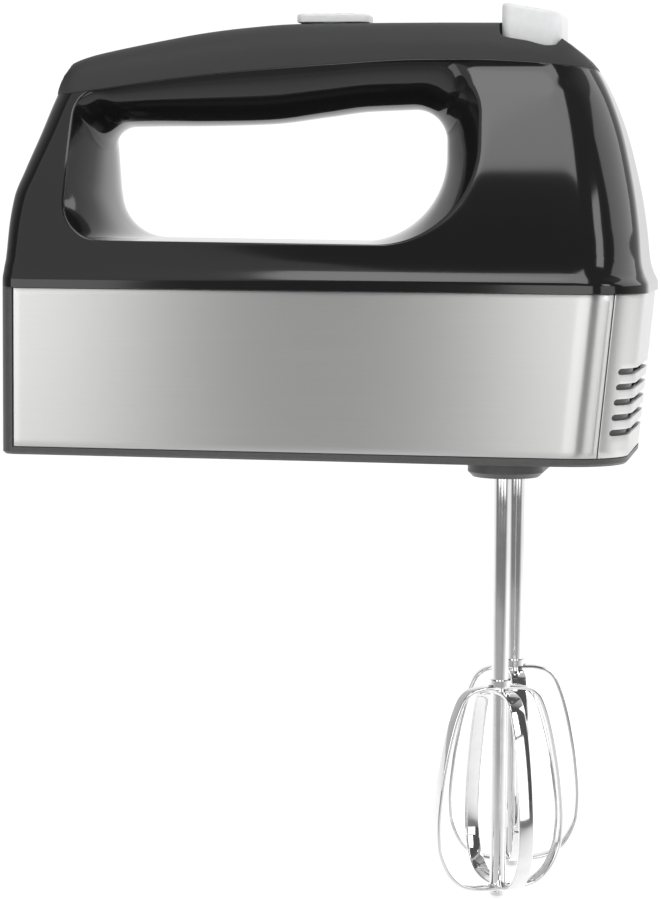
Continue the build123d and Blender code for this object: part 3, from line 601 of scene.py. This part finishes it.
def slot_distance(x, y):
    """Distance outside the slider's slot in the cover."""
    middle, half = (SLOT_LOW_X + SLOT_HIGH_X) / 2, (SLOT_HIGH_X - SLOT_LOW_X) / 2
    return outside_distance(x - middle, y, half, SLOT_HALF_Y, 1.0)


def cover_surface(share, rise):
    """Handle cover from the seam (rise 0) to the top line (rise 1). Each rib is a quarter superellipse,
    with a power of about 3 at the sides, 4 at the rear and less at the nose. The surface is cut down to
    the saddle under the button and to its flat rear and falling nose, and turns down at the edges of the
    button's and the slider's openings."""
    base_h = seam_height(share) + SEAM_GAP
    base_x, base_y = outline_point(share, *level_values(base_h))
    turns = (0.0, REAR_TURN, SIDE_START, SIDE_END, NOSE_TURN, 1.0)
    spine_x = np.interp(share, turns, (-52, -52, -50.0, 74.0, 76.0, 76.0))
    powers = (0.0, SIDE_START, SIDE_START + 0.1, SIDE_END - 0.12, SIDE_END, 1.0)
    power = np.interp(share, powers, (4.2, 3.8, 3.0, 3.0, 2.3, 1.75))
    angle = rise * math.pi / 2
    reach = np.maximum(np.cos(angle), 0) ** (2 / power)
    lift = np.maximum(np.sin(angle), 0) ** (2 / power)
    x = spine_x + (base_x - spine_x) * reach
    y = base_y * reach
    z = base_h + (crown_height(x) - base_h) * lift
    in_saddle = (x > SADDLE_X[0]) & (x < SADDLE_X[-1])
    cut = np.where(in_saddle, eased_curve(x, SADDLE_X, SADDLE_Z), NO_CUT)
    cut = np.minimum(cut, np.interp(x, END_X, END_Z))
    z = np.maximum(np.minimum(z, cut), np.minimum(z, base_h + 0.1))
    for away, (depth, width) in ((button_distance(x, y), BUTTON_WALL), (slot_distance(x, y), SLOT_WALL)):
        z = z - depth * np.clip(-away / width, 0, 1)
    return np.stack((x, y, z - GRIP_HEIGHT), axis=-1)


# Ribs stand closer together round the button; near the top line the rises step evenly in reach.
rib_shares = np.concatenate(
    (np.linspace(0, 0.66, 170), np.linspace(0.66, 0.93, 240)[1:], np.linspace(0.93, 1, 20)[1:])
)
top_reach = np.linspace(0.37, 0, 50)
rib_rises = np.concatenate((np.linspace(0, 0.855, 55), np.arccos(top_reach**1.5) / (math.pi / 2)))
ribs, rises = np.meshgrid(rib_shares, rib_rises, indexing="ij")
cover_side = cover_surface(ribs, rises)
cover_x, cover_y = cover_side[..., 0], cover_side[..., 1]
from_opening = np.minimum(button_distance(cover_x, cover_y), slot_distance(cover_x, cover_y))
cover_faces = opened(grid_faces(*ribs.shape), from_opening, OPENING_EDGE)
cover_sheets = [(cover_side, cover_faces), (mirrored(cover_side), cover_faces)]
cover_edge = cover_side[:, 0]
cover_lip = lip(cover_edge, inward(cover_edge) * 0.3, np.array((0.0, 0.0, -0.3)))
lip_faces = grid_faces(*cover_lip.shape[:2])
cover_sheets += [(cover_lip, lip_faces), (mirrored(cover_lip), lip_faces)]
finished_piece(
    "handle_cover_shell", "housing", ["handle_cover"], soft_dark, cover_sheets, sharp_angle=30.0
)


# ---------------------------------------------------------------- steel sides and nose
LOWER = dict(rear=-83.4, front=118.4, half=43.0, rear_r=5.0, front_r=20.0)
NOSE_LEAN = 5.0 / 54.0
FLAT_RUN = 190.0  # length given to the side's flat run when the panel's rear edge is placed on it
SKIN = 0.12  # how far the steel's outside lies inside the body's outside
PANEL_LOW, PANEL_HIGH = 2.65, 53.9
PANEL_REAR_X, PANEL_FRONT_X = -78.7, 109.8
SLOT_HEIGHTS = (10.5, 15.3, 20.1, 24.9, 29.7)
SLOT_HALF = 1.0
SLOT_END_X, SLOT_END_LEAN = 112.3, 0.125
JOINT_HALF = 0.15  # half the gap between the sides and the nose


def lower_point(share, height, inset):
    """Point of the lower body's outside; the nose leans forward with height."""
    x, y = outline_point(
        share,
        LOWER["rear"] + inset,
        LOWER["front"] + NOSE_LEAN * height - inset,
        LOWER["half"] - inset,
        LOWER["rear_r"] - inset,
        LOWER["front_r"] - inset,
    )
    return np.stack((x, y, height - GRIP_HEIGHT), axis=-1)


def nose_share(x, height):
    """Share of the half outline where the front corner's quarter circle has a given X."""
    centre = LOWER["front"] + NOSE_LEAN * height - LOWER["front_r"]
    angle = np.arcsin(np.clip((x - centre) / LOWER["front_r"], 0, 1))
    return SIDE_END + (NOSE_TURN - SIDE_END) * angle / (math.pi / 2)


def walled(piece, thickness, edge):
    """Gives a sheet its thickness inwards and eases its edges."""
    wall = piece.modifiers.new("wall", "SOLIDIFY")
    wall.thickness = thickness * MM
    wall.offset = -1.0
    ease = piece.modifiers.new("edge", "BEVEL")
    ease.width = edge * MM
    ease.segments = 2
    ease.limit_method = "ANGLE"
    ease.angle_limit = math.radians(50)


def side_panel(side):
    """Steel side from behind the rear frame to the joint line on the front corner."""
    heights = np.linspace(PANEL_LOW, PANEL_HIGH, 24)[None, :]
    start = SIDE_START + (SIDE_END - SIDE_START) * (PANEL_REAR_X - LOWER["rear"] - LOWER["rear_r"]) / FLAT_RUN
    end = nose_share(PANEL_FRONT_X - JOINT_HALF + NOSE_LEAN * heights, heights)
    run = np.linspace(0, 1, 120)[:, None]
    first_part = np.clip(run / 0.6, 0, 1)
    second_part = np.clip((run - 0.6) / 0.4, 0, 1)
    share = start + (SIDE_END - start) * first_part + (end - SIDE_END) * second_part
    points = lower_point(share, np.broadcast_to(heights, share.shape), SKIN)
    points[..., 1] *= side
    return points


for side_name, sign in (("right", 1.0), ("left", -1.0)):
    panel_points = side_panel(sign)
    panel_faces = grid_faces(*panel_points.shape[:2])
    panel = finished_piece(
        f"steel_side_{side_name}",
        "housing",
        [f"side_panel_{side_name}"],
        brushed_steel,
        [(panel_points, panel_faces if sign > 0 else panel_faces[:, ::-1])],
    )
    walled(panel, 0.5, 0.12)


def nose_sheets():
    """Steel nose in two zones per side: from the joint to the slots' round ends, then across the slots to the
    middle, where the rows inside a slot are left out."""
    rows = [PANEL_LOW]
    open_rows = []
    for middle in SLOT_HEIGHTS:
        rows += list(np.linspace(rows[-1], middle - SLOT_HALF, 4)[1:])
        base = len(rows) - 1
        rows += list(middle - SLOT_HALF * np.cos(np.linspace(0, math.pi, 13))[1:])
        open_rows += list(range(base, base + 12))
    rows += list(np.linspace(rows[-1], PANEL_HIGH, 16)[1:])
    heights = np.array(rows)
    to_slot = np.min(np.abs(heights[:, None] - np.array(SLOT_HEIGHTS)), axis=1)
    round_end = 1 - np.sqrt(np.clip(1 - (to_slot / SLOT_HALF) ** 2, 0, 1))
    slot_end = nose_share(SLOT_END_X + SLOT_END_LEAN * heights + round_end, heights)
    joint = nose_share(PANEL_FRONT_X + JOINT_HALF + NOSE_LEAN * heights, heights)
    run = np.linspace(0, 1, 14)[:, None]
    near = joint[None, :] + (slot_end - joint)[None, :] * run
    far_run = np.linspace(0, 1, 60)[:, None]
    far = slot_end[None, :] + (1 - slot_end)[None, :] * far_run
    sheets = []
    for share, is_open in ((near, False), (far, True)):
        points = lower_point(share, np.broadcast_to(heights[None, :], share.shape), SKIN)
        faces = grid_faces(*share.shape)
        if is_open:
            row_of_face = np.arange(len(faces)) % (len(heights) - 1)
            faces = faces[~np.isin(row_of_face, open_rows)]
        sheets += [(points, faces), (mirrored(points), faces)]
    return sheets


nose = finished_piece(
    "steel_nose", "housing", ["front_grille"], brushed_steel, nose_sheets()
)
walled(nose, 1.7, 0.1)


# ---------------------------------------------------------------- beaters
LOOP_R = (0.0, 5.5, 10.0, 13.4, 15.6, 17.4, 19.4, 21.4, 22.35, 22.0, 20.4, 17.0, 12.0, 6.0, 0.0)
LOOP_H = (
    -73.5, -73.55, -74.4, -77.0, -81.5, -87.0, -95.5, -107.5,
    -119.0, -125.5, -131.0, -136.3, -139.6, -140.7, -140.8,
)
STRIP_HALF, STRIP_T = 2.5, 1.2
BEATER_X, BEATER_Y = 78.2, 21.0


def strip_line(nest, count):
    """Outer line of a loop from the stem's shoulder to its foot, drawn in at top and bottom by nest."""
    knots = np.concatenate(([0], np.cumsum(np.hypot(np.diff(LOOP_R), np.diff(LOOP_H)))))
    at = np.linspace(0, knots[-1], count)
    radius = eased_curve(at, knots, LOOP_R)
    height = eased_curve(at, knots, LOOP_H)
    middle = (LOOP_H[0] + LOOP_H[-1]) / 2
    height = middle + (height - middle) * (1 - 2 * nest / (LOOP_H[0] - LOOP_H[-1]))
    return radius, height


def strip_sheets(turned, nest, centre_y):
    """Flat strip carried round the loop: a rounded rectangle section, its thin way along the inward
    normal."""
    radius, height = strip_line(nest, 150)
    radius = np.concatenate((radius, -radius[::-1][1:]))
    height = np.concatenate((height, height[::-1][1:]))
    line = np.stack((radius, height), axis=-1)
    along = np.roll(line, -1, axis=0) - np.roll(line, 1, axis=0)
    along[0] = line[1] - line[0]
    along[0, 1] = 0
    along[-1] = (1.0, 0.0)
    along /= np.linalg.norm(along, axis=1, keepdims=True)
    into = np.stack((along[:, 1], -along[:, 0]), axis=-1)
    corner = 0.35
    section = []
    for across, deep, start in (
        (STRIP_HALF - corner, corner, -90),
        (STRIP_HALF - corner, STRIP_T - corner, 0),
        (-STRIP_HALF + corner, STRIP_T - corner, 90),
        (-STRIP_HALF + corner, corner, 180),
    ):
        for angle in np.radians(np.linspace(start, start + 90, 4)):
            section.append((across + corner * math.cos(angle), deep + corner * math.sin(angle)))
    section = np.array(section + section[:1])
    inset = line[:, None, :] + into[:, None, :] * section[None, :, 1:2]
    across = np.broadcast_to(section[None, :, 0], inset.shape[:2])
    cos_t, sin_t = math.cos(math.radians(turned)), math.sin(math.radians(turned))
    x = BEATER_X + inset[..., 0] * cos_t - across * sin_t
    y = centre_y + inset[..., 0] * sin_t + across * cos_t
    points = np.stack((x, y, inset[..., 1] - GRIP_HEIGHT), axis=-1)
    return [(points, grid_faces(*points.shape[:2], closed=True))]


for side_name, centre_y, phase in (("right", -BEATER_Y, 31.0), ("left", BEATER_Y, 14.0)):
    for loop_name, turned, nest in (("outer", phase, 0.0), ("inner", phase + 90, STRIP_T)):
        finished_piece(
            f"{loop_name}_strip_{side_name}",
            f"beater_{side_name}",
            [f"{loop_name}_loop_{side_name}"],
            bright_chrome,
            strip_sheets(turned, nest, centre_y),
            weld=0.001,
        )


# ---------------------------------------------------------------- button and slider
CORNER_STEPS = 24
SLIDER_X, SLIDER_RIBS = 18.6, 4


def plan_loop(centre_x, half_x, half_y, corner):
    """Rounded rectangle seen from above, walked by angle so that loops of different size match."""
    points = []
    for index, (sx, sy) in enumerate(((1, 1), (-1, 1), (-1, -1), (1, -1))):
        angle = np.radians(np.linspace(90 * index, 90 * index + 90, CORNER_STEPS))
        points.append(
            np.stack(
                (
                    centre_x + sx * (half_x - corner) + corner * np.cos(angle),
                    sy * (half_y - corner) + corner * np.sin(angle),
                ),
                axis=-1,
            )
        )
    return np.concatenate(points)


def stacked(centre_x, half_x, half_y, corner, levels, tilt=0.0):
    """Loops stacked by (inset, height, share of tilt), closed at the last one's middle."""
    rings = []
    for inset, height, tilted in levels:
        ring = plan_loop(centre_x, half_x - inset, half_y - inset, max(corner - inset, 0.3))
        z = height + tilt * tilted * (ring[:, 0] - centre_x) - GRIP_HEIGHT
        rings.append(np.column_stack((ring, z)))
    last = rings[-1]
    for share in (0.75, 0.5, 0.25, 0.0):
        centre = np.array((centre_x, 0.0, levels[-1][1] - GRIP_HEIGHT))
        rings.append(centre + (last - centre) * share)
    points = np.stack(rings, axis=1)
    return [(points, grid_faces(*points.shape[:2], closed=True))]


def eased_edge(inset, height, radius):
    """Quarter-circle run of (inset, height, tilted) levels over an outer edge."""
    angles = np.linspace(0, math.pi / 2, 5)
    return [
        (inset + radius * (1 - math.cos(a)), height - radius + radius * math.sin(a), 1.0) for a in angles
    ]


button_levels = [(0.9, 126.0, 0.0), (0.5, 126.5, 0.0), (0.3, 132.0, 0.3), (0.3, 139.0, 1.0)]
button_levels += eased_edge(0.3, 144.70, 1.3)
button_levels += [(2.3, 144.65, 1.0), (2.7, 144.2, 1.0), (3.2, 143.7, 1.0), (6.0, 143.4, 1.0)]
finished_piece(
    "eject_button_cap",
    "eject",
    ["eject_button"],
    button_grey,
    stacked(BUTTON_X, BUTTON_HALF_X, BUTTON_HALF_Y, BUTTON_CORNER, button_levels, tilt=-0.175),
)

slider_levels = [(0.5, 140.65, 0.0), (0.1, 140.8, 0.0), (0.0, 141.2, 0.0)] + eased_edge(0.0, 143.45, 0.8)
slider_sheets = stacked(SLIDER_X, 11.9, 7.0, 3.0, slider_levels)
for step in range(SLIDER_RIBS):
    rib_levels = [(0.0, 143.0, 0.0)] + eased_edge(0.0, 143.75, 0.3)
    slider_sheets += stacked(SLIDER_X - 6.0 + 4.0 * step, 1.2, 4.6, 1.1, rib_levels)
slider_sheets += stacked(SLIDER_X, 3.6, 2.1, 0.6, [(0.0, 131.0, 0.0), (0.0, 141.4, 0.0)])
finished_piece(
    "speed_slider_cap", "slider", ["speed_slider"], button_grey, slider_sheets, weld=0.001
)


# ---------------------------------------------------------------- studio
def camera_axes(yaw, pitch, roll):
    """Right, up and back unit vectors of a camera turned by yaw and pitch about the target."""
    back = Vector((math.sin(yaw) * math.cos(pitch), -math.cos(yaw) * math.cos(pitch), math.sin(pitch)))
    level = Vector((math.cos(yaw), math.sin(yaw), 0))
    over = back.cross(level)
    right = level * math.cos(roll) + over * math.sin(roll)
    up = over * math.cos(roll) - level * math.sin(roll)
    return right, up, back


CAMERA_DISTANCE, CARD_DISTANCE = 0.9, 1.6
right_axis, up_axis, back_axis = camera_axes(math.radians(10.4), math.radians(5.06), math.radians(0.4))
target = Vector((0.018, 0.0, -0.1251))
lens = bpy.data.cameras.new("studio_camera")
lens.lens = 108.0
lens.sensor_width = 36.0
camera = bpy.data.objects.new("studio_camera", lens)
turned = Matrix((right_axis, up_axis, back_axis)).transposed().to_4x4()
camera.matrix_world = Matrix.Translation(target + back_axis * CAMERA_DISTANCE) @ turned
bpy.context.scene.collection.objects.link(camera)
bpy.context.scene.camera = camera


def soft_light(name, place, aim, width, height, power):
    """A rectangular soft light at place, facing aim."""
    data = bpy.data.lights.new(name, "AREA")
    data.shape = "RECTANGLE"
    data.size = width
    data.size_y = height
    data.energy = power
    light = bpy.data.objects.new(name, data)
    facing = (Vector(aim) - Vector(place)).to_track_quat("-Z", "Y")
    light.matrix_world = Matrix.Translation(Vector(place)) @ facing.to_matrix().to_4x4()
    bpy.context.scene.collection.objects.link(light)


def white_room():
    """World that is white behind the object and a dim room in front of it, blended over the sides."""
    world = bpy.data.worlds.new("studio_world")
    world.use_nodes = True
    nodes, links = world.node_tree.nodes, world.node_tree.links
    place = nodes.new("ShaderNodeTexCoord")
    split = nodes.new("ShaderNodeSeparateXYZ")
    ramp = nodes.new("ShaderNodeValToRGB")
    spread = nodes.new("ShaderNodeMapRange")
    spread.inputs["From Min"].default_value = -1.0
    links.new(place.outputs["Generated"], split.inputs["Vector"])
    links.new(split.outputs["Y"], spread.inputs["Value"])
    links.new(spread.outputs["Result"], ramp.inputs["Fac"])
    ramp.color_ramp.elements[0].position = 0.36
    ramp.color_ramp.elements[0].color = (0.10, 0.10, 0.10, 1)
    ramp.color_ramp.elements[1].position = 0.965
    ramp.color_ramp.elements[1].color = (1.05, 1.05, 1.05, 1)
    for position, grey in ((0.60, 0.45), (0.91, 0.62)):
        step = ramp.color_ramp.elements.new(position)
        step.color = (grey, grey, grey, 1)
    links.new(ramp.outputs["Color"], nodes["Background"].inputs["Color"])
    bpy.context.scene.world = world


white_room()
bpy.context.scene.view_settings.view_transform = "Standard"

floor_mesh = bpy.data.meshes.new("studio_floor")
floor_mesh.from_pydata([(-9, -9, -0.4), (9, -9, -0.4), (9, 9, -0.4), (-9, 9, -0.4)], [], [(0, 1, 2, 3)])
floor = bpy.data.objects.new("studio_floor", floor_mesh)
bpy.context.scene.collection.objects.link(floor)
floor_finish, floor_shader = new_finish("floor_painted_glow_and_shade")
floor_shader.inputs["Roughness"].default_value = 0.9
floor_shader.inputs["Emission Color"].default_value = (1, 1, 1, 1)
floor_nodes, floor_links = floor_finish.node_tree.nodes, floor_finish.node_tree.links
floor_place = floor_nodes.new("ShaderNodeTexCoord")
floor_split = floor_nodes.new("ShaderNodeSeparateXYZ")
floor_links.new(floor_place.outputs["Object"], floor_split.inputs["Vector"])
# The floor glows with painted light and carries painted shade: its emission and its base colour both get
# dimmer from behind the object towards the camera.
for socket, low, high in (("Emission Strength", 0.10, 0.70), ("Base Color", 0.25, 0.90)):
    painted_fall_off = mapped(floor_finish, floor_split.outputs["Y"], low, high, -0.9, 0.3)
    floor_links.new(painted_fall_off, floor_shader.inputs[socket])
floor.data.materials.append(floor_finish)


def light_card(name, azimuth, elevation, width, height, radiance):
    """Soft light seen from the object at an azimuth from -Y towards +X and an elevation, in degrees."""
    azimuth, elevation = math.radians(azimuth), math.radians(elevation)
    level = math.cos(elevation)
    way = (math.sin(azimuth) * level, -math.cos(azimuth) * level, math.sin(elevation))
    place = [CARD_DISTANCE * part for part in way]
    soft_light(name, place, (0, 0, -0.05), width, height, radiance * math.pi * width * height)


light_card("broad_left_card", -34, 38, 1.15, 1.7, 0.66)
light_card("front_window", 2, 49, 0.75, 0.72, 3.7)
light_card("side_strip", 50, 22, 0.34, 0.55, 4.0)
light_card("right_card", 104, 26, 1.5, 1.0, 1.8)
light_card("low_left_card", -33, 0, 1.0, 0.60, 2.15)
light_card("low_right_card", 10, 0, 0.78, 0.60, 2.35)
light_card("far_right_card", 50, 0, 0.70, 0.6, 1.5)
light_card("top_box", 90, 84, 1.0, 1.0, 1.7)
